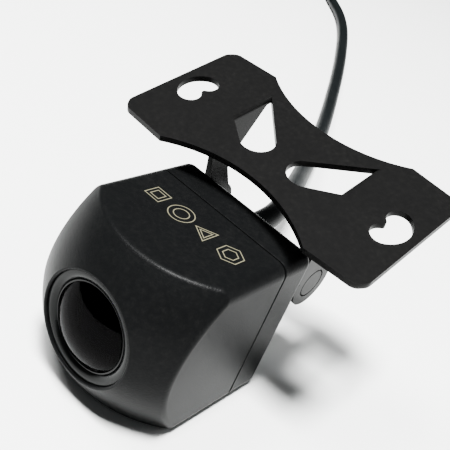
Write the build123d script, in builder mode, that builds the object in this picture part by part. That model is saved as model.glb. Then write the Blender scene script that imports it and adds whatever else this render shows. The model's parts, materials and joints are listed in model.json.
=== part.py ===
"""Square reversing camera with a domed front, hinged between the legs of a bow-tie bracket."""
import math
import os

from build123d import *

os.makedirs("parts", exist_ok=True)

# ---- driving dimensions, mm -------------------------------------------------------------
BODY = 24.0              # width and height of the housing
FRONT_Y = -20.1          # plane of the front rim; the lens looks along -Y
SEAM_Y = FRONT_Y + 19.6  # joint between the front and rear housings
REAR_Y = FRONT_Y + 25.9  # rear face
AXIS_Z = BODY / 2        # height of the lens axis
EDGE_R = 1.7             # rounding of the long edges
SEAM_GAP = 0.25          # gap at the joint, filled by the seal
CAVITY = 20.4            # inside width of the housings
POST_AT = 8.4            # corner screw posts, from the lens axis
POST_R = 2.2

RIM_R = 7.7              # inner edge of the dome at the front rim
BORE_R = 7.35            # bore that takes the bezel
SEAT_Y = FRONT_Y + 4.9   # floor of that bore
BARREL_R = 6.0           # lens barrel, also the holder's thread
GLASS_R = 5.75           # front lens element
GLASS_DEPTH = 0.6        # its edge, behind the front rim
GLASS_RISE = 2.0         # how far it bulges from its edge
DOME_EDGE_R = 1.0        # rounding where the dome meets the flat sides

PITCH = 17.1             # rest tilt of the bracket, rear edge up, degrees
PLATE_T = 0.9            # bracket sheet
PLATE_Y, PLATE_Z = FRONT_Y + 24.1, 30.1   # plate datum, v = 0, on the upper face
HALF_LONG = 21.4         # plate half length
MID_V = 5.75             # middle of the plate, fore and aft
WAIST_HALF, CORNER_HALF, CORNER_U = 7.5, 11.65, 12.8
LEG_IN = 9.6             # inner face of each leg, from the middle
PIVOT_V, PIVOT_DROP = 3.7, 16.2           # pivot in the bracket's own frame
LUG_R = 3.9
EAR_R = 2.9              # ears of the rear housing, beside the lugs
BEND_R = 0.7             # outer radius of the bend from plate to leg
# side view of a leg, along the plate and up from it, from the bend down to inside the lug
LEG_OUTLINE = [(13.0, 0), (5.0, 0), (1.9, -5.2), (1.7, -9.0), (0.2, -14.0), (6.6, -14.0),
               (5.6, -9.6), (7.5, -6.0)]
SLOT_ARC_U, SLOT_ARC_R, SLOT_W = 16.2, 2.25, 3.5
PIVOT_R = 1.25           # pivot screw shank
HEAD_R, HEAD_T = 2.3, 0.4                 # its flat head
RUN_FIT = 0.08

EAR_IN, EAR_OUT = 6.6, 9.3                # ears of the rear housing
CABLE_X, CABLE_Z = -2.5, 16.3             # where the cable leaves
CABLE_D = 3.6
BOOT_END_Y = FRONT_Y + 30.0

# worked out
SIN, COS = math.sin(math.radians(PITCH)), math.cos(math.radians(PITCH))
PIVOT_Y = PLATE_Y + PIVOT_V * COS + PIVOT_DROP * SIN
PIVOT_Z = PLATE_Z + PIVOT_V * SIN - PIVOT_DROP * COS
LENS_AXIS = Axis((0, 0, AXIS_Z), (0, 1, 0))


def facing_back(y, x=0.0, z=AXIS_Z):
    """Plane whose normal is +Y: local x is -X, local y is +Z."""
    return Plane(origin=(x, y, z), x_dir=(-1, 0, 0), z_dir=(0, 1, 0))


def save(part, name):
    part.label = name
    export_step(part, f"parts/{name}.step")


# ---- front housing: square box cut from a dome of revolution ----------------------------
CORNER_R = BODY / 2 * math.sqrt(2)
with BuildPart() as front_housing:
    with BuildSketch(Plane.YZ):
        with BuildLine():
            rim = (FRONT_Y, AXIS_Z + RIM_R)
            shoulder = (FRONT_Y + 9.7, AXIS_Z + CORNER_R + 0.2)
            Line((FRONT_Y, AXIS_Z), rim)
            ThreePointArc(rim, (FRONT_Y + 3.25, AXIS_Z + BODY / 2), shoulder)
            Line(shoulder, (SEAM_Y - SEAM_GAP / 2, AXIS_Z + CORNER_R + 0.2))
            Line((SEAM_Y - SEAM_GAP / 2, AXIS_Z + CORNER_R + 0.2), (SEAM_Y - SEAM_GAP / 2, AXIS_Z))
            Line((SEAM_Y - SEAM_GAP / 2, AXIS_Z), (FRONT_Y, AXIS_Z))
        make_face()
    revolve(axis=LENS_AXIS)
    with BuildSketch(facing_back(FRONT_Y - 1)):
        RectangleRounded(BODY, BODY, EDGE_R)
    extrude(amount=30, mode=Mode.INTERSECT)
    straight_or_round = (GeomType.CIRCLE, GeomType.LINE)
    dome_edges = front_housing.edges().filter_by(lambda e: e.geom_type not in straight_or_round)
    fillet(dome_edges, DOME_EDGE_R)
    back_rim = front_housing.faces().sort_by(Axis.Y)[-1].edges()
    chamfer(back_rim, 0.08)
    with BuildSketch(facing_back(FRONT_Y)):
        Circle(BORE_R)
    extrude(amount=SEAT_Y - FRONT_Y, mode=Mode.SUBTRACT)
    lip = front_housing.edges().filter_by(lambda e: abs(e.length - 2 * math.pi * BORE_R) < 0.01)
    fillet(lip.sort_by(Axis.Y)[0], 0.2)
    with BuildSketch(facing_back(FRONT_Y)):
        Circle(BARREL_R + 0.3)
    extrude(amount=12, mode=Mode.SUBTRACT)
    with BuildSketch(facing_back(FRONT_Y + 9.5)):
        RectangleRounded(CAVITY, CAVITY, 1)
        with GridLocations(2 * POST_AT, 2 * POST_AT, 2, 2):
            Circle(POST_R, mode=Mode.SUBTRACT)
        with GridLocations(CAVITY, CAVITY, 2, 2):
            Rectangle(2 * CAVITY - 4 * POST_AT, 2 * CAVITY - 4 * POST_AT, mode=Mode.SUBTRACT)
    extrude(amount=12, mode=Mode.SUBTRACT)
    with BuildSketch(facing_back(SEAM_Y - 8)):
        with GridLocations(2 * POST_AT, 2 * POST_AT, 2, 2):
            Circle(1.0)
    extrude(amount=8, mode=Mode.SUBTRACT)
save(front_housing.part, "front_housing")

# ---- rear housing: lid with two pivot ears and a cable outlet ---------------------------
with BuildPart() as rear_housing:
    with BuildSketch(facing_back(SEAM_Y + SEAM_GAP / 2)):
        RectangleRounded(BODY, BODY, EDGE_R)
    extrude(amount=REAR_Y - SEAM_Y - SEAM_GAP / 2)
    fillet(rear_housing.faces().sort_by(Axis.Y)[-1].edges(), 1.5)
    chamfer(rear_housing.faces().sort_by(Axis.Y)[0].edges(), 0.08)
    for side in (-1, 1):
        ear_from = EAR_IN if side > 0 else -EAR_OUT
        with BuildSketch(Plane.YZ.offset(ear_from)):
            with Locations((PIVOT_Y, PIVOT_Z)):
                Circle(EAR_R)
            with BuildLine():
                Polyline((PIVOT_Y, PIVOT_Z + EAR_R), (REAR_Y - 1, PIVOT_Z + EAR_R + 0.5),
                         (REAR_Y - 1, PIVOT_Z - EAR_R - 1.8), (PIVOT_Y, PIVOT_Z - EAR_R), close=True)
            make_face()
        extrude(amount=EAR_OUT - EAR_IN)
    with BuildSketch(facing_back(REAR_Y - 0.5, CABLE_X, CABLE_Z)):
        Circle(3.4)
    extrude(amount=1.7)
    with BuildSketch(facing_back(SEAM_Y)):
        RectangleRounded(CAVITY, CAVITY, 1)
        with GridLocations(2 * POST_AT, 2 * POST_AT, 2, 2):
            Circle(POST_R, mode=Mode.SUBTRACT)
        with GridLocations(CAVITY, CAVITY, 2, 2):
            Rectangle(2 * CAVITY - 4 * POST_AT, 2 * CAVITY - 4 * POST_AT, mode=Mode.SUBTRACT)
    extrude(amount=4.5, mode=Mode.SUBTRACT)
    with BuildSketch(facing_back(SEAM_Y, CABLE_X, CABLE_Z)):
        Circle(2.4)
    extrude(amount=12, mode=Mode.SUBTRACT)
    with Locations(facing_back(REAR_Y)):
        with GridLocations(2 * POST_AT, 2 * POST_AT, 2, 2):
            CounterSinkHole(1.0, 1.9, depth=7)
    with BuildSketch(Plane.YZ):
        with Locations((PIVOT_Y, PIVOT_Z)):
            Circle(PIVOT_R)
    extrude(amount=EAR_OUT + 1, both=True, mode=Mode.SUBTRACT)
save(rear_housing.part, "rear_housing")

# ---- housing seal -----------------------------------------------------------------------
with BuildPart() as housing_seal:
    with BuildSketch(facing_back(SEAM_Y - SEAM_GAP / 2)):
        RectangleRounded(BODY - 1, BODY - 1, EDGE_R - 0.4)
        RectangleRounded(CAVITY + 0.4, CAVITY + 0.4, 1, mode=Mode.SUBTRACT)
    extrude(amount=SEAM_GAP)
save(housing_seal.part, "housing_seal")

# ---- four countersunk housing screws, heads flush with the rear face ---------------------
with BuildPart() as housing_screws:
    with BuildSketch(Plane.YZ.offset(-POST_AT)):
        with BuildLine():
            Polyline((REAR_Y, AXIS_Z + POST_AT), (REAR_Y, AXIS_Z + POST_AT + 1.85),
                     (REAR_Y - 0.87, AXIS_Z + POST_AT + 0.98), (SEAM_Y - 7, AXIS_Z + POST_AT + 0.98),
                     (SEAM_Y - 7.5, AXIS_Z + POST_AT + 0.5), (SEAM_Y - 7.5, AXIS_Z + POST_AT),
                     close=True)
        make_face()
    revolve(axis=Axis((-POST_AT, 0, AXIS_Z + POST_AT), (0, 1, 0)))
    mirror(about=Plane.YZ)
    mirror(about=Plane.XY.offset(AXIS_Z))
save(housing_screws.part, "housing_screws")


# ---- lens: every piece turned about the lens axis, profiles as (depth, radius) ------------
def turned(name, points, dome=None):
    """Revolve a closed profile; dome = (start, middle, end) adds an arc in place of a line."""
    at = [(FRONT_Y + depth, AXIS_Z + radius) for depth, radius in points]
    with BuildPart() as piece:
        with BuildSketch(Plane.YZ):
            with BuildLine():
                if dome:
                    ThreePointArc(at[-1], (FRONT_Y + dome[0], AXIS_Z + dome[1]), at[0])
                    Polyline(*at)
                else:
                    Polyline(*at, close=True)
            make_face()
        revolve(axis=LENS_AXIS)
    save(piece.part, name)


turned("lens_bezel", [(0.35, 7.3), (3.2, 7.3), (3.2, 6.05), (0.8, 6.05)], dome=(0.32, 6.72))
turned("lens_barrel", [(0.72, 5.78), (0.72, 5.98), (3.2, 5.98), (3.2, 7.2), (4.0, 7.2), (4.0, BARREL_R),
                       (14.2, BARREL_R), (14.2, 4.2), (12.2, 4.2), (12.2, 3.7), (3.4, 3.7), (3.4, 2.3),
                       (2.9, 3.5), (2.6, 3.9), (2.6, 5.78)])
turned("front_lens_element",
       [(GLASS_DEPTH, GLASS_R), (2.6, GLASS_R), (2.6, 3.8), (1.0, 1.6), (0.8, 0),
        (GLASS_DEPTH - GLASS_RISE, 0)],
       dome=(-0.934, 2.9))
turned("second_lens_element", [(3.4, 0), (3.4, 3.65), (5.0, 3.65), (5.0, 2.6), (4.2, 0)])
turned("lens_spacer", [(5.0, 2.8), (5.0, 3.65), (6.4, 3.65), (6.4, 2.8)])
turned("aperture_ring", [(6.4, 1.0), (6.4, 3.65), (6.8, 3.65), (6.8, 1.0)])
turned("third_lens_element", [(6.8, 2.4), (6.8, 3.65), (9.2, 3.65), (9.2, 0), (7.2, 0)])
turned("rear_lens_element", [(9.2, 3.65), (11.6, 3.65), (11.6, 2.4), (11.2, 0), (9.8, 0), (9.2, 2.4)])
turned("lens_retainer", [(11.6, 2.6), (11.6, 3.65), (12.2, 3.65), (12.2, 2.6)])
with BuildPart() as lens_o_ring:
    with BuildSketch(Plane.YZ):
        with Locations((FRONT_Y + 4.45, AXIS_Z + 6.78)):
            Circle(0.44)
    revolve(axis=LENS_AXIS)
save(lens_o_ring.part, "lens_o_ring")

# ---- lens holder and filter on the sensor board -------------------------------------------
HOLDER_Y = FRONT_Y + 11.0
BOARD_Y = FRONT_Y + 17.6
BOARD_T = 1.0
with BuildPart() as lens_holder:
    with BuildSketch(facing_back(HOLDER_Y)):
        Circle(7.2)
    extrude(amount=4.4)
    with BuildSketch(facing_back(HOLDER_Y + 3.6)):
        RectangleRounded(14, 14, 1.5)
        with Locations((-8.2, 0), (8.2, 0)):
            RectangleRounded(3.6, 4.4, 1.2)
    extrude(amount=3.0)
    with BuildSketch(facing_back(HOLDER_Y)):
        Circle(BARREL_R + 0.05)
    extrude(amount=4.0, mode=Mode.SUBTRACT)
    with BuildSketch(facing_back(HOLDER_Y)):
        Rectangle(6.2, 6.2)
    extrude(amount=7, mode=Mode.SUBTRACT)
    with BuildSketch(facing_back(HOLDER_Y + 5.2)):
        Rectangle(9, 9)
    extrude(amount=2, mode=Mode.SUBTRACT)
    with BuildSketch(facing_back(HOLDER_Y + 3)):
        with Locations((-8.6, 0), (8.6, 0)):
            Circle(0.7)
    extrude(amount=4, mode=Mode.SUBTRACT)
save(lens_holder.part, "lens_holder")

with BuildPart() as infrared_filter:
    with BuildSketch(facing_back(HOLDER_Y + 5.2)):
        Rectangle(7.6, 7.6)
    extrude(amount=0.4)
save(infrared_filter.part, "infrared_filter")

with BuildPart() as image_sensor:
    with BuildSketch(facing_back(BOARD_Y - 0.8)):
        Rectangle(7.0, 6.2)
    extrude(amount=0.8)
save(image_sensor.part, "image_sensor")

# ---- two boards with cut corners, clear of the screw posts ---------------------------------
POWER_Y = FRONT_Y + 20.9
for name, y, holes in (("sensor_board", BOARD_Y, True), ("power_board", POWER_Y, False)):
    with BuildPart() as board:
        with BuildSketch(facing_back(y)):
            Rectangle(19.6, 19.6)
            with GridLocations(2 * POST_AT, 2 * POST_AT, 2, 2):
                Circle(POST_R + 0.4, mode=Mode.SUBTRACT)
            with GridLocations(19.6, 19.6, 2, 2):
                Rectangle(3.2, 3.2, mode=Mode.SUBTRACT)
            if holes:
                with Locations((-8.6, 0), (8.6, 0)):
                    Circle(0.75, mode=Mode.SUBTRACT)
        extrude(amount=BOARD_T if holes else 0.9)
    save(board.part, name)

with BuildPart() as holder_screws:
    for x in (-8.6, 8.6):
        with BuildSketch(facing_back(BOARD_Y + BOARD_T, x)):
            Circle(1.0)
        extrude(amount=0.6)
        with BuildSketch(facing_back(BOARD_Y - 2.4, x)):
            Circle(0.68)
        extrude(amount=2.4 + BOARD_T)
save(holder_screws.part, "holder_screws")

GAP = POWER_Y - BOARD_Y - BOARD_T
with BuildPart() as board_header:
    with BuildSketch(facing_back(BOARD_Y + BOARD_T, 0, AXIS_Z - 6.6)):
        Rectangle(9, 2.4)
    extrude(amount=GAP)
save(board_header.part, "board_header")

with BuildPart() as board_spacers:
    with BuildSketch(facing_back(BOARD_Y + BOARD_T)):
        with Locations((-4.6, 8), (4.6, 8)):
            Circle(1.2)
    extrude(amount=GAP)
save(board_spacers.part, "board_spacers")

with BuildPart() as power_inductor:
    with BuildSketch(facing_back(BOARD_Y + BOARD_T, 3.6, AXIS_Z + 1)):
        RectangleRounded(4.4, 4.4, 0.8)
    extrude(amount=1.9)
save(power_inductor.part, "power_inductor")

with BuildPart() as video_chip:
    with BuildSketch(facing_back(BOARD_Y + BOARD_T, -3.8, AXIS_Z + 1.4)):
        Rectangle(5, 5)
    extrude(amount=0.9)
save(video_chip.part, "video_chip")

with BuildPart() as cable_socket:
    with BuildSketch(facing_back(POWER_Y + 0.9, CABLE_X, CABLE_Z)):
        Rectangle(6.4, 3.6)
    extrude(amount=1.2)
save(cable_socket.part, "cable_socket")

# ---- cable grommet with a ribbed, tapering boot, and the inner leads ------------------------
LEAD_END_Y = POWER_Y + 2.1
with BuildPart() as cable_grommet:
    with BuildSketch(Plane.YZ.offset(CABLE_X)):
        with BuildLine():
            inside, mouth = FRONT_Y + 23.95, REAR_Y + 1.2
            Polyline((inside, CABLE_Z), (inside, CABLE_Z + 2.3), (mouth, CABLE_Z + 2.3),
                     (mouth, CABLE_Z + 3.3), (BOOT_END_Y, CABLE_Z + CABLE_D / 2 + 0.35),
                     (BOOT_END_Y, CABLE_Z), close=True)
        make_face()
    revolve(axis=Axis((CABLE_X, 0, CABLE_Z), (0, 1, 0)))
    for groove in range(2):
        with BuildSketch(Plane.YZ.offset(CABLE_X)):
            with Locations((REAR_Y + 2.3 + 1.3 * groove, CABLE_Z + 3.3 - 0.35 * groove)):
                Rectangle(0.6, 0.9)
        revolve(axis=Axis((CABLE_X, 0, CABLE_Z), (0, 1, 0)), mode=Mode.SUBTRACT)
save(cable_grommet.part, "cable_grommet")

with BuildPart() as inner_leads:
    with BuildSketch(facing_back(LEAD_END_Y, CABLE_X, CABLE_Z)):
        with GridLocations(1.3, 0, 4, 1):
            Circle(0.4)
    extrude(amount=FRONT_Y + 23.95 - LEAD_END_Y)
save(inner_leads.part, "inner_leads")

# ---- bracket: bow-tie plate, two windows, two legs with pivot lugs ---------------------------
plate_plane = Plane(origin=(0, PLATE_Y, PLATE_Z), x_dir=(1, 0, 0), z_dir=(0, -SIN, COS))


def leg_plane(x):
    """Side view of the bracket: local x runs along the plate, local y is its upward normal."""
    return Plane(origin=(x, PLATE_Y, PLATE_Z), x_dir=(0, COS, SIN), z_dir=(1, 0, 0))


with BuildPart() as bracket:
    with BuildSketch(plate_plane.offset(-PLATE_T)):
        with BuildLine():
            rear, front = MID_V + CORNER_HALF, MID_V - CORNER_HALF
            ThreePointArc((-CORNER_U, rear), (0, MID_V + WAIST_HALF), (CORNER_U, rear))
            Polyline((CORNER_U, rear), (HALF_LONG - 1, rear - 0.5), (HALF_LONG, rear - 2),
                     (HALF_LONG, front + 2), (HALF_LONG - 1, front + 0.5), (CORNER_U, front))
            ThreePointArc((CORNER_U, front), (0, MID_V - WAIST_HALF), (-CORNER_U, front))
            Polyline((-CORNER_U, front), (1 - HALF_LONG, front + 0.5), (-HALF_LONG, front + 2),
                     (-HALF_LONG, rear - 2), (1 - HALF_LONG, rear - 0.5), (-CORNER_U, rear))
        outline = make_face()
        fillet(outline.vertices().filter_by(lambda v: abs(v.X) > CORNER_U + 1), 1.6)
        fillet(outline.vertices().filter_by(lambda v: abs(abs(v.X) - CORNER_U) < 0.01), 1.0)
        # kidney slots in the wings, hollow side towards the middle
        for side in (-1, 1):
            with BuildLine(mode=Mode.PRIVATE) as kidney:
                CenterArc((side * SLOT_ARC_U, MID_V), SLOT_ARC_R, -53 if side > 0 else 127, 106)
            SlotArc(kidney.wires()[0], SLOT_W, mode=Mode.SUBTRACT)
        # windows that the legs are bent from: a triangle with one round end
        for side in (-1, 1):
            with BuildLine():
                a, b = (side * LEG_IN, 5.0), (side * LEG_IN, 13.0)
                Polyline((side * 2.35, 6.0), b, a, (side * 5.5, 2.05))
                ThreePointArc((side * 5.5, 2.05), (side * 2.3, 2.75), (side * 2.35, 6.0))
            make_face(mode=Mode.SUBTRACT)
    extrude(amount=PLATE_T)
    # legs: wide at the bend, narrowing to a neck, ending in a round lug
    for side in (-1, 1):
        with BuildSketch(leg_plane(LEG_IN if side > 0 else -LEG_IN - PLATE_T)):
            Polygon(*LEG_OUTLINE, align=None)
            with Locations((PIVOT_V, -PIVOT_DROP)):
                Circle(LUG_R)
        extrude(amount=PLATE_T)
    # the bends: a wide radius on the window side, a tight one under the wing
    along = Vector(0, COS, SIN)
    bends = bracket.edges().filter_by(lambda e: abs(abs((e % 0.5).dot(along)) - 1) < 1e-6)
    fillet(bends.filter_by(lambda e: abs(abs(e.center().X) - LEG_IN) < 0.01 and e.length > 7.9), BEND_R)
    with BuildSketch(Plane.YZ):
        with Locations((PIVOT_Y, PIVOT_Z)):
            Circle(PIVOT_R + RUN_FIT)
    extrude(amount=20, both=True, mode=Mode.SUBTRACT)
    for side in (-1, 1):
        face = LEG_IN + PLATE_T
        with BuildSketch(Plane.YZ.offset(side * face)):
            with Locations((PIVOT_Y, PIVOT_Z)):
                Circle(HEAD_R + RUN_FIT)
        extrude(amount=-side * (HEAD_T + 0.05), mode=Mode.SUBTRACT)
save(bracket.part, "bracket")

# ---- pivot screws and washers: flat heads sunk flush in the lugs -----------------------------
with BuildPart() as pivot_screws:
    with BuildSketch(Plane.XY.offset(PIVOT_Z)):
        with BuildLine():
            head = LEG_IN + PLATE_T - HEAD_T
            Polyline((EAR_IN - 0.6, PIVOT_Y), (EAR_IN - 0.6, PIVOT_Y + PIVOT_R), (head, PIVOT_Y + PIVOT_R),
                     (head, PIVOT_Y + HEAD_R), (head + HEAD_T - 0.15, PIVOT_Y + HEAD_R),
                     (head + HEAD_T, PIVOT_Y + HEAD_R - 0.15), (head + HEAD_T, PIVOT_Y), close=True)
        make_face()
    revolve(axis=Axis((0, PIVOT_Y, PIVOT_Z), (1, 0, 0)))
    mirror(about=Plane.YZ)
save(pivot_screws.part, "pivot_screws")

with BuildPart() as pivot_washers:
    with BuildSketch(Plane.YZ.offset(EAR_OUT)):
        with Locations((PIVOT_Y, PIVOT_Z)):
            Circle(2.6)
            Circle(PIVOT_R, mode=Mode.SUBTRACT)
    extrude(amount=LEG_IN - EAR_OUT - 0.05)
    mirror(about=Plane.YZ)
save(pivot_washers.part, "pivot_washers")

# ---- cable: visible stretch on its route, then a coil of the rest ---------------------------
LIE = CABLE_D / 2 + 0.05
ROUTE = [(CABLE_X, BOOT_END_Y, CABLE_Z), (CABLE_X, 15.6, CABLE_Z), (-4.2, 23.0, 15.5), (-8.9, 34.0, 13.2),
         (-17.5, 52.5, 8.3), (-29.5, 78.5, 4.0), (-43.6, 105.4, LIE), (-65.5, 144.0, LIE),
         (-91.0, 184.0, LIE), (-121.8, 213.5, LIE)]
COIL_X, COIL_Y, COIL_R = -146.1, 206.9, 20.0        # middle of the turns
COIL_WIDE, COIL_HIGH = 10.8, 7.3
TIE_ANGLE = -60.0
PLUG_X, PLUG_Z, PLUG_TAIL_Y = COIL_X - COIL_R, 5.9, 191.2   # the plug lies along -Y


def corner_radii(points):
    radii = []
    for before, here, after in zip(points, points[1:], points[2:]):
        first, second = Vector(here) - Vector(before), Vector(after) - Vector(here)
        half_turn = math.radians(first.get_angle(second)) / 2
        radii.append(0.45 * min(first.length, second.length) / math.tan(half_turn))
    return radii


bend_radii = corner_radii(ROUTE)
print("cable bend radii", [round(radius, 1) for radius in bend_radii])
with BuildPart() as cable:
    with BuildLine() as cable_path:
        FilletPolyline(*ROUTE, radius=bend_radii)
    with BuildSketch(Plane(origin=ROUTE[0], z_dir=cable_path.wires()[0] % 0)):
        Circle(CABLE_D / 2)
    sweep()
run_length = cable_path.wires()[0].length
print("cable run", round(run_length, 1), "volume", round(cable.part.volume, 1),
      "section x length", round(run_length * math.pi * CABLE_D ** 2 / 4, 1))
save(cable.part, "cable")

# ---- coil of the put-away length, tied ------------------------------------------------------
with BuildPart() as cable_coil:
    with BuildSketch(Plane.XZ.offset(-COIL_Y)):
        with Locations((COIL_X + COIL_R, COIL_HIGH / 2)):
            RectangleRounded(COIL_WIDE, COIL_HIGH, CABLE_D / 2)
    revolve(axis=Axis((COIL_X, COIL_Y, 0), (0, 0, 1)))
save(cable_coil.part, "cable_coil")

tie_x = COIL_X + COIL_R * math.cos(math.radians(TIE_ANGLE))
tie_y = COIL_Y + COIL_R * math.sin(math.radians(TIE_ANGLE))
tie_plane = Plane(origin=(tie_x, tie_y, 0), z_dir=Vector(0, 1, 0).rotate(Axis.Z, TIE_ANGLE),
                  x_dir=Vector(1, 0, 0).rotate(Axis.Z, TIE_ANGLE))
with BuildPart() as cable_tie:
    with BuildSketch(tie_plane):
        with Locations((0, -COIL_HIGH / 2 - 0.4)):
            RectangleRounded(COIL_WIDE + 1.6, COIL_HIGH + 0.8, 1.6)
            RectangleRounded(COIL_WIDE, COIL_HIGH - 0.8, 1.0, mode=Mode.SUBTRACT)
    extrude(amount=1.6, both=True)
save(cable_tie.part, "cable_tie")

# ---- screw-lock plug: every round piece turned about the plug axis ----------------------------
PLUG_AXIS = Axis((PLUG_X, 0, PLUG_Z), (0, 1, 0))


def plug_piece(name, points, ribs=0):
    """Revolve a profile given as (distance from the tail, radius)."""
    at = [(PLUG_TAIL_Y - along, PLUG_Z + radius) for along, radius in points]
    with BuildPart() as piece:
        with BuildSketch(Plane.YZ.offset(PLUG_X)):
            with BuildLine():
                Polyline(*at, close=True)
            make_face()
        revolve(axis=PLUG_AXIS)
        if ribs:
            with BuildSketch(facing_back(PLUG_TAIL_Y - 28.5, PLUG_X, PLUG_Z)):
                with PolarLocations(points[3][1] + 0.15, ribs):
                    Circle(0.4)
            extrude(amount=9, mode=Mode.SUBTRACT)
    save(piece.part, name)


plug_piece("plug_boot", [(0, 0), (0, 2.3), (4, 2.9), (13, 4.3), (14, 4.6), (15, 4.6), (15, 3.6), (17.2, 3.6),
                         (17.2, 0)])
plug_piece("plug_body", [(17.2, 0), (17.2, 3.6), (18.0, 3.6), (18.0, 4.3), (19.6, 4.3), (19.6, 3.3),
                         (29, 3.3), (29, 2.6), (21.5, 2.6), (21.5, 0)])
plug_piece("coupling_nut", [(15.6, 3.7), (15.6, 5.2), (16.4, 5.9), (29.4, 5.9), (30.2, 5.2), (30.2, 4.4),
                            (17.9, 4.4), (17.9, 3.7)], ribs=20)
with BuildPart() as plug_seal:
    with BuildSketch(Plane.YZ.offset(PLUG_X)):
        with Locations((PLUG_TAIL_Y - 20.05, PLUG_Z + 3.75)):
            Circle(0.4)
    revolve(axis=PLUG_AXIS)
save(plug_seal.part, "plug_seal")
with BuildPart() as plug_pins:
    with BuildSketch(facing_back(PLUG_TAIL_Y - 28.0, PLUG_X, PLUG_Z)):
        with PolarLocations(1.4, 4, 45):
            Circle(0.45)
    extrude(amount=6.5)
save(plug_pins.part, "plug_pins")
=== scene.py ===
# %% [markdown]
# # A square reversing camera in its bow-tie bracket
# The camera is a small moulded box whose front swells into a dome round a wide-angle lens.
# It hangs between the two legs of a stamped steel bracket, and a thin round cable leaves its back.
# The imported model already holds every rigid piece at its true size. Here they get their finish, the
# stamped bracket gets its softened edges, and the cable gets its real, flexible line.

# %% Load the frame
import json
import math

import bmesh
import bpy
from mathutils import Matrix, Vector


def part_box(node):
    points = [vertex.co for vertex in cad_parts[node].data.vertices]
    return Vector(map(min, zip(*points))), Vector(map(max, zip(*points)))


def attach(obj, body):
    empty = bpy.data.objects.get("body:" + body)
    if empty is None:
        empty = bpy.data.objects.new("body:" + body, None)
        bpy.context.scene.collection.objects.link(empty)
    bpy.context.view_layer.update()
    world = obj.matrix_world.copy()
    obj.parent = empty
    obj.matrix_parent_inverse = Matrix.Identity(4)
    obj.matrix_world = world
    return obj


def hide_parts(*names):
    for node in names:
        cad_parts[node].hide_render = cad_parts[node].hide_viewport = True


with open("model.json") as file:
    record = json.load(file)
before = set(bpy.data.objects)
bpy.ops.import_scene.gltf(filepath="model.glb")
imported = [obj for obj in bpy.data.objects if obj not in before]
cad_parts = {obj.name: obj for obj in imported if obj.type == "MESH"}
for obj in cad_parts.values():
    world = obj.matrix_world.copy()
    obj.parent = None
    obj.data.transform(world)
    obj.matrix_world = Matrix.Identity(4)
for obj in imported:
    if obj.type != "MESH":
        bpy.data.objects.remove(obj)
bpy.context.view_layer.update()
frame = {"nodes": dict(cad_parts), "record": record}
NODES = frame["nodes"]
MM = 0.001

# %% [markdown]
# The view comes first, because the cable has to be laid out with it: what the view doesn't show of the
# cable is put away just outside it. The camera stands in front of the lens, to its left and well above,
# so that the dome, the top, one side and the whole bracket show. A 60 mm lens keeps the strong
# perspective of a small thing seen from close by.

# %% Camera
VIEW_FROM = Vector((42.717, -73.043, 73.679)) * MM
VIEW_RIGHT = Vector((0.70113, 0.63260, 0.32900))
VIEW_UP = Vector((-0.57185, 0.22325, 0.78939))


def add_camera(name, place, right, up, lens):
    """A camera whose frame is given by its place and two of its axes."""
    camera = bpy.data.objects.new(name, bpy.data.cameras.new(name))
    bpy.context.scene.collection.objects.link(camera)
    back = right.cross(up)
    turn = Matrix((right, up, back)).transposed().to_4x4()
    camera.matrix_world = Matrix.Translation(place) @ turn
    camera.data.lens = lens
    camera.data.sensor_width = 36
    camera.data.clip_start = 0.005
    return camera


bpy.context.scene.camera = add_camera("view", VIEW_FROM, VIEW_RIGHT, VIEW_UP, 60)
print("camera at", [round(v, 3) for v in VIEW_FROM])
print("looks along", [round(v, 3) for v in VIEW_UP.cross(VIEW_RIGHT)])

# %% [markdown]
# ## The cable
# A camera lead is a round jacket of soft plastic, a few millimetres thick, with the life of a thing that
# was coiled in its box: it leaves the boot straight, drops in a slow bend to the surface and wanders
# off. A NURBS curve of order 3 follows its control points the way such a lead follows the hand. The
# part that isn't needed is wound into a round coil and tied, so the same spline goes on into the turns.
#
# Each control point carries the cord's own radius and the bevel is 1, which makes the same tube as a
# bevel of half the diameter, but keeps the curve's bounding box to the size of the cord.

# %% Cable route
CABLE_D = 3.6
LIE = CABLE_D / 2 + 0.05
ROUTE = [(-2.5, 9.9, 16.3), (-2.5, 15.6, 16.3), (-4.2, 23.0, 15.5), (-8.9, 34.0, 13.2), (-17.5, 52.5, 8.3),
         (-29.5, 78.5, 4.0), (-43.6, 105.4, LIE), (-65.5, 144.0, LIE), (-91.0, 184.0, LIE),
         (-114.0, 206.0, LIE)]
COIL_AT = (-146.1, 206.9)
COIL_R = 20.0
POINTS_PER_TURN = 14
TURNS = 5.2
COIL_START = math.radians(32)
LOWER_TURNS = 2.6    # turns lying on the surface, spiralling in
SPIRAL_IN = 1.3      # turns that the lower layer takes to come in by one diameter
SPIRAL_OUT = 1.6     # turns that the upper layer takes to go out by one diameter
CLIMB = 0.3          # turns that the cord takes to rise onto the upper layer


def coil_turns():
    """Control points of the turns: a layer that spirals in below, and one that spirals out on top."""
    points = []
    for step in range(int(TURNS * POINTS_PER_TURN)):
        turn = step / POINTS_PER_TURN
        angle = COIL_START + 2 * math.pi * turn
        if turn < LOWER_TURNS:
            radius = COIL_R + CABLE_D - CABLE_D * min(turn / SPIRAL_IN, 2.0)
            height = LIE
        else:
            radius = COIL_R - CABLE_D / 2 + CABLE_D * min((turn - LOWER_TURNS) / SPIRAL_OUT, 1.0)
            height = LIE + CABLE_D * min((turn - LOWER_TURNS) / CLIMB, 1.0)
        points.append((COIL_AT[0] + radius * math.cos(angle), COIL_AT[1] + radius * math.sin(angle), height))
    return points


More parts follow.
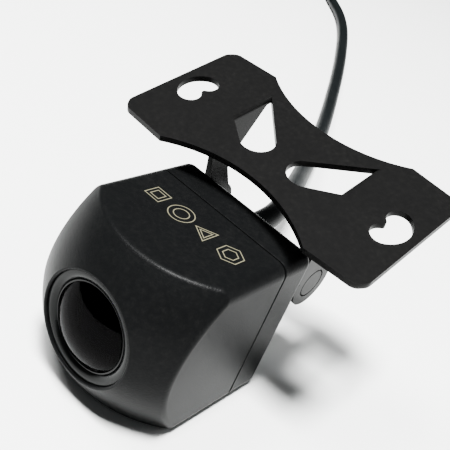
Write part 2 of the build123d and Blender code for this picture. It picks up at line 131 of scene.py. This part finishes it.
def add_spline(name, points, radius):
    """A round cord on a NURBS spline through control points in millimetres."""
    curve = bpy.data.curves.new(name, "CURVE")
    curve.dimensions = "3D"
    spline = curve.splines.new("NURBS")
    spline.points.add(len(points) - 1)
    for point, place in zip(spline.points, points):
        point.co = (*(v * MM for v in place), 1)
        point.radius = radius * MM
    spline.order_u = 3
    spline.use_endpoint_u = True
    curve.bevel_depth = 1 if radius else 0
    curve.bevel_resolution = 8
    curve.resolution_u = 10
    curve.use_fill_caps = True
    piece = bpy.data.objects.new(name, curve)
    bpy.context.scene.collection.objects.link(piece)
    return piece


def spline_length(points):
    """Length of the smooth line itself, in metres, read from a curve with no thickness."""
    plain = add_spline("measure", points, 0)
    plain.data.use_fill_caps = False
    shown = plain.evaluated_get(bpy.context.evaluated_depsgraph_get())
    line = bpy.data.meshes.new_from_object(shown)
    at = [vertex.co for vertex in line.vertices]
    length = sum((at[e.vertices[0]] - at[e.vertices[1]]).length for e in line.edges)
    bpy.data.objects.remove(plain)
    bpy.data.meshes.remove(line)
    return length


cable_points = ROUTE + coil_turns()
cable_length = spline_length(cable_points)
lead = add_spline("camera_lead", cable_points, CABLE_D / 2)
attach(lead, "camera")
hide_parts("cable", "cable_coil")
print("cable", round(cable_length, 3), "m with", len(cable_points), "control points")

# %% [markdown]
# ## Light and floor
# The camera lies on a pale sheet in a bright room. The main light is overhead and in front, a weaker
# one comes from the left, and a broad faint one from behind on the right opens the shadows. A look
# with more contrast keeps the black plastic black beside the bright sheet.

# %% Floor
bpy.ops.mesh.primitive_plane_add(size=6, location=(0, 0, 0))
floor = bpy.context.object
floor.name = "pale_sheet"
paper = bpy.data.materials.new("paper")
paper.use_nodes = True
paper_shader = paper.node_tree.nodes["Principled BSDF"]
paper_shader.inputs["Base Color"].default_value = (0.80, 0.81, 0.80, 1)
paper_shader.inputs["Roughness"].default_value = 0.9
floor.data.materials.append(paper)


# %% Lights
def add_area(name, place, target, size, power):
    """A square soft light at place, in metres, that faces target."""
    lamp = bpy.data.lights.new(name, "AREA")
    lamp.size = size
    lamp.energy = power
    light = bpy.data.objects.new(name, lamp)
    bpy.context.scene.collection.objects.link(light)
    aim = (Vector(target) - Vector(place)).to_track_quat("-Z", "Y")
    light.matrix_world = Matrix.Translation(place) @ aim.to_matrix().to_4x4()
    return light


LIGHT_TARGET = (0, 0, 0.01)
add_area("ceiling", (0.06, -0.20, 0.85), LIGHT_TARGET, 0.18, 29)
add_area("window", (-0.35, -0.15, 0.8), LIGHT_TARGET, 0.3, 6)
add_area("room_side", (0.65, 0.75, 0.45), LIGHT_TARGET, 0.6, 2)
world = bpy.data.worlds.new("room")
bpy.context.scene.world = world
world.use_nodes = True
world.node_tree.nodes["Background"].inputs["Color"].default_value = (0.95, 0.98, 1.0, 1)
world.node_tree.nodes["Background"].inputs["Strength"].default_value = 0.12
bpy.context.scene.view_settings.look = "AgX - Medium High Contrast"

# %% [markdown]
# ## Finishes
# Three effects come back in most of the materials: a fine mould grain that roughens the surface, a
# slow blotchy variation of gloss from handling, and a film of pale dust. The first two are one node
# group and the dust is another. The groups put out only heights, values and colours; every shader
# stays in its own material.


# %% Shared effects
def new_group(name, inputs, outputs):
    """An empty shader group with its sockets: (name, type, default) in, (name, type) out."""
    group = bpy.data.node_groups.new(name, "ShaderNodeTree")
    for socket_name, kind, value in inputs:
        socket = group.interface.new_socket(socket_name, in_out="INPUT", socket_type=kind)
        if value is not None:
            socket.default_value = value
    for socket_name, kind in outputs:
        group.interface.new_socket(socket_name, in_out="OUTPUT", socket_type=kind)
    entry = group.nodes.new("NodeGroupInput")
    leave = group.nodes.new("NodeGroupOutput")
    return group, entry, leave


def math_node(group, operation, first, second):
    """A math node whose inputs are sockets or numbers; returns its output."""
    node = group.nodes.new("ShaderNodeMath")
    node.operation = operation
    for socket, value in zip(node.inputs, (first, second)):
        if isinstance(value, (int, float)):
            socket.default_value = value
        else:
            group.links.new(value, socket)
    return node.outputs[0]


def noise_node(group, vector, scale, detail=2.0, roughness=0.5):
    """A noise texture; scale is a number or a socket."""
    node = group.nodes.new("ShaderNodeTexNoise")
    group.links.new(vector, node.inputs["Vector"])
    if isinstance(scale, (int, float)):
        node.inputs["Scale"].default_value = scale
    else:
        group.links.new(scale, node.inputs["Scale"])
    node.inputs["Detail"].default_value = detail
    node.inputs["Roughness"].default_value = roughness
    return node.outputs["Fac"]


grain_group, g_in, g_out = new_group(
    "mould_grain",
    [("Vector", "NodeSocketVector", None), ("Grain Scale", "NodeSocketFloat", 2500.0),
     ("Roughness", "NodeSocketFloat", 0.45), ("Spread", "NodeSocketFloat", 0.15)],
    [("Height", "NodeSocketFloat"), ("Roughness", "NodeSocketFloat")])
fine = noise_node(grain_group, g_in.outputs["Vector"], g_in.outputs["Grain Scale"], 3.0, 0.6)
slow = noise_node(grain_group, g_in.outputs["Vector"], 180.0, 4.0, 0.55)
grain_group.links.new(fine, g_out.inputs["Height"])
centred = math_node(grain_group, "SUBTRACT", slow, 0.5)
swing = math_node(grain_group, "MULTIPLY", centred, g_in.outputs["Spread"])
swing = math_node(grain_group, "MULTIPLY", swing, 2.0)
uneven = math_node(grain_group, "ADD", swing, g_in.outputs["Roughness"])
grain_group.links.new(uneven, g_out.inputs["Roughness"])

dust_group, d_in, d_out = new_group(
    "dust_film",
    [("Vector", "NodeSocketVector", None), ("Color", "NodeSocketColor", (0.02, 0.02, 0.02, 1)),
     ("Dust", "NodeSocketColor", (0.30, 0.29, 0.27, 1)), ("Amount", "NodeSocketFloat", 0.05)],
    [("Color", "NodeSocketColor")])
specks = noise_node(dust_group, d_in.outputs["Vector"], 1400.0, 2.0, 0.7)
clouds = noise_node(dust_group, d_in.outputs["Vector"], 120.0, 3.0, 0.6)
mask = math_node(dust_group, "MULTIPLY", math_node(dust_group, "POWER", specks, 3.0), clouds)
mask = math_node(dust_group, "MULTIPLY", mask, 5.0)
mask = math_node(dust_group, "MULTIPLY", mask, d_in.outputs["Amount"])
blend = dust_group.nodes.new("ShaderNodeMix")
blend.data_type = "RGBA"
dust_group.links.new(mask, blend.inputs["Factor"])
dust_group.links.new(d_in.outputs["Color"], blend.inputs[6])
dust_group.links.new(d_in.outputs["Dust"], blend.inputs[7])
dust_group.links.new(blend.outputs[2], d_out.inputs["Color"])
print("node groups:", [g.name for g in bpy.data.node_groups])


# %% Material builder
def finish(name, colour, rough, spread=0.08, grain=2500.0, depth=0.02, dust=0.0, metal=0.0, **sockets):
    """A material with mould grain and dust on Object coordinates.

    rough and spread are the roughness and how far it wanders, grain is the noise scale, depth is the
    height of the grain in millimetres, and sockets are constant shader values.
    """
    material = bpy.data.materials.new(name)
    material.use_nodes = True
    tree = material.node_tree
    shader = tree.nodes["Principled BSDF"]
    place = tree.nodes.new("ShaderNodeTexCoord").outputs["Object"]
    surface = tree.nodes.new("ShaderNodeGroup")
    surface.node_tree = grain_group
    tree.links.new(place, surface.inputs["Vector"])
    surface.inputs["Grain Scale"].default_value = grain
    surface.inputs["Roughness"].default_value = rough
    surface.inputs["Spread"].default_value = spread
    film = tree.nodes.new("ShaderNodeGroup")
    film.node_tree = dust_group
    tree.links.new(place, film.inputs["Vector"])
    film.inputs["Color"].default_value = (*colour, 1)
    film.inputs["Amount"].default_value = dust
    bump = tree.nodes.new("ShaderNodeBump")
    bump.inputs["Strength"].default_value = 1.0
    bump.inputs["Distance"].default_value = depth * MM
    tree.links.new(surface.outputs["Height"], bump.inputs["Height"])
    tree.links.new(bump.outputs["Normal"], shader.inputs["Normal"])
    tree.links.new(surface.outputs["Roughness"], shader.inputs["Roughness"])
    tree.links.new(film.outputs["Color"], shader.inputs["Base Color"])
    shader.inputs["Metallic"].default_value = metal
    for socket, value in sockets.items():
        shader.inputs[socket.replace("_", " ")].default_value = value
    return material


FINISHES = {
    "housing_plastic": finish("satin_moulded_plastic", (0.0045, 0.0048, 0.0050), 0.36, 0.04, 3800,
                              0.034, 0.01, Specular_IOR_Level=0.055),
    "seal_rubber": finish("seal_rubber", (0.010, 0.010, 0.010), 0.7, 0.1, 2500, 0.02),
    "screw_steel": finish("black_oxide_steel", (0.010, 0.010, 0.010), 0.45, 0.1, 3000, 0.01, 0.02,
                          Specular_IOR_Level=0.15),
    "washer_nylon": finish("washer_nylon", (0.006, 0.006, 0.006), 0.5, Specular_IOR_Level=0.2),
    "bezel_black": finish("bezel_black", (0.0040, 0.0045, 0.0045), 0.28, 0.04, 3000, 0.006,
                          Specular_IOR_Level=0.15),
    "barrel_black": finish("black_anodised", (0.003, 0.003, 0.003), 0.35, 0.06, 3500, 0.006,
                           Specular_IOR_Level=0.2),
    "holder_plastic": finish("holder_plastic", (0.02, 0.02, 0.02), 0.6),
    "sensor_silicon": finish("sensor_silicon", (0.05, 0.03, 0.08), 0.15, 0.03, 800, 0.002, 0.0, 0.6),
    "circuit_board": finish("solder_mask", (0.01, 0.10, 0.04), 0.3, 0.05, 900, 0.01),
    "component_black": finish("component_black", (0.03, 0.03, 0.03), 0.5),
    "spacer_brass": finish("turned_brass", (0.55, 0.38, 0.14), 0.3, 0.08, 2500, 0.005, 0.1, 1.0),
    "socket_white": finish("socket_nylon", (0.70, 0.66, 0.58), 0.5),
    "lead_wire": finish("lead_insulation", (0.45, 0.03, 0.02), 0.45),
    "cable_jacket": finish("cable_jacket", (0.0050, 0.0065, 0.0070), 0.42, 0.06, 1500, 0.008, 0.02,
                           Specular_IOR_Level=0.06),
    "tie_nylon": finish("tie_nylon", (0.02, 0.02, 0.02), 0.4, 0.06, 1800, 0.010, 0.03),
    "bracket_paint": finish("bracket_enamel", (0.0060, 0.0060, 0.0060), 0.34, 0.05, 1600, 0.006, 0.01,
                            Specular_IOR_Level=0.07),
    "plug_plastic": finish("plug_plastic", (0.014, 0.014, 0.014), 0.45, 0.08, 2600, 0.02, 0.03),
    "pin_gold": finish("pin_gold", (0.70, 0.47, 0.16), 0.25, 0.05, 2500, 0.003, 0.0, 1.0),
    "lens_glass": finish("coated_glass", (0.035, 0.03, 0.05), 0.06, 0.005, 300, 0.0,
                         Transmission_Weight=1.0, IOR=1.04, Specular_IOR_Level=0.1,
                         Coat_Weight=0.09, Coat_IOR=1.45, Coat_Roughness=0.05,
                         Coat_Tint=(0.80, 0.74, 1.0, 1)),
}
for part in frame["record"]["subparts"]:
    NODES[part["node"]].data.materials.clear()
    NODES[part["node"]].data.materials.append(FINISHES[part["material_slot"]])
lead.data.materials.append(FINISHES["cable_jacket"])
print("finishes:", len(FINISHES))

# %% [markdown]
# ## The stamped bracket
# The plate is punched and bent from sheet, then enamelled, and the paint rounds every edge a little.
# That thin rounding catches the light all along the rim. The design keeps the sheet's edges sharp, so
# a copy of its mesh is merged, its flat faces are joined, and a Bevel modifier breaks each edge.


# %% Helpers for shaping
EDGE_ROUNDING = 0.14
SMOOTH_BELOW = math.radians(30)
MERGE_WITHIN = 0.002
FLAT_BELOW = math.radians(0.5)


def select_only(piece):
    """Nothing but this object selected and active."""
    for other in bpy.context.selected_objects:
        other.select_set(False)
    piece.select_set(True)
    bpy.context.view_layer.objects.active = piece


def soften(piece, width, segments=2, angle=35):
    """Round the sharp edges with an applied bevel, width in millimetres, and smooth what is nearly flat."""
    select_only(piece)
    bevel = piece.modifiers.new("edges", "BEVEL")
    bevel.width = width * MM
    bevel.segments = segments
    bevel.limit_method = "ANGLE"
    bevel.angle_limit = math.radians(angle)
    bpy.ops.object.modifier_apply(modifier=bevel.name)
    bpy.ops.object.shade_smooth_by_angle(angle=SMOOTH_BELOW)
    flatten = piece.modifiers.new("flat faces", "WEIGHTED_NORMAL")
    flatten.keep_sharp = True
    flatten.weight = 100
    bpy.ops.object.modifier_apply(modifier=flatten.name)


def welded_copy(node, name):
    """A new object with a CAD node's mesh, its doubled corners merged and its flat faces joined."""
    piece = bpy.data.objects.new(name, NODES[node].data.copy())
    bpy.context.scene.collection.objects.link(piece)
    shape = bmesh.new()
    shape.from_mesh(piece.data)
    bmesh.ops.remove_doubles(shape, verts=shape.verts, dist=MERGE_WITHIN * MM)
    bmesh.ops.dissolve_limit(shape, angle_limit=FLAT_BELOW, verts=shape.verts, edges=shape.edges)
    shape.to_mesh(piece.data)
    shape.free()
    return piece


# %% Bracket
plate = welded_copy("bracket", "stamped_bracket")
soften(plate, EDGE_ROUNDING)
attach(plate, "bracket")
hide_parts("bracket")
print("bracket faces:", len(plate.data.polygons))

# %% [markdown]
# ## The mark on the top
# A row of small outlines is engraved by laser in the flat top, and the burnt plastic is a pale dull gold.
# The row here is a plain pattern of its own: square, ring, triangle and hexagon outlines. Each outline is
# a flat circle primitive with as many corners as it needs, inset to a ring, with its middle deleted.


# %% Laser mark
def outline_mark(name, corners, centre, radius, turn, line):
    """A flat ring with the given corners on the top face, sizes in millimetres."""
    bpy.ops.object.select_all(action="DESELECT")
    bpy.ops.mesh.primitive_circle_add(vertices=corners, radius=radius * MM, fill_type="NGON")
    mark = bpy.context.object
    mark.name = name
    bpy.ops.object.mode_set(mode="EDIT")
    bpy.ops.mesh.select_all(action="SELECT")
    bpy.ops.mesh.inset(thickness=line * MM)
    bpy.ops.mesh.delete(type="FACE")
    bpy.ops.mesh.select_all(action="SELECT")
    bpy.ops.mesh.extrude_region_move(TRANSFORM_OT_translate={"value": (0, 0, MARK_T * MM)})
    bpy.ops.mesh.select_all(action="SELECT")
    bpy.ops.mesh.normals_make_consistent(inside=False)
    bpy.ops.object.mode_set(mode="OBJECT")
    place = Matrix.Translation(Vector(centre) * MM) @ Matrix.Rotation(math.radians(turn), 4, "Z")
    mark.data.transform(place)
    return mark


MARK_T = 0.03
MARK_LINE = 0.16
MARK_RADII = (1.9, 1.15)
ROW_START = -6.6
ROW_STEP = 4.4
ROW_Y = -6.1
OUTLINES = [(4, 45), (32, 0), (3, 90), (6, 0)]    # corners and turn in degrees
HOUSING_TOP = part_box("front_housing")[1][2] / MM
gold = finish("laser_mark", (0.10, 0.094, 0.062), 0.6, 0.1, 3000, 0.01)
marks = []
for place, (corners, turn) in enumerate(OUTLINES):
    centre = (ROW_START + ROW_STEP * place, ROW_Y, HOUSING_TOP - MARK_T / 2)
    for size in MARK_RADII:
        marks.append(outline_mark("mark", corners, centre, size, turn, MARK_LINE))
bpy.ops.object.select_all(action="DESELECT")
for mark in marks:
    mark.select_set(True)
bpy.context.view_layer.objects.active = marks[0]
bpy.ops.object.join()
top_mark = bpy.context.object
top_mark.name = "top_mark"
top_mark.data.materials.append(gold)
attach(top_mark, "camera")
print("mark outlines:", len(marks), "faces:", len(top_mark.data.polygons))
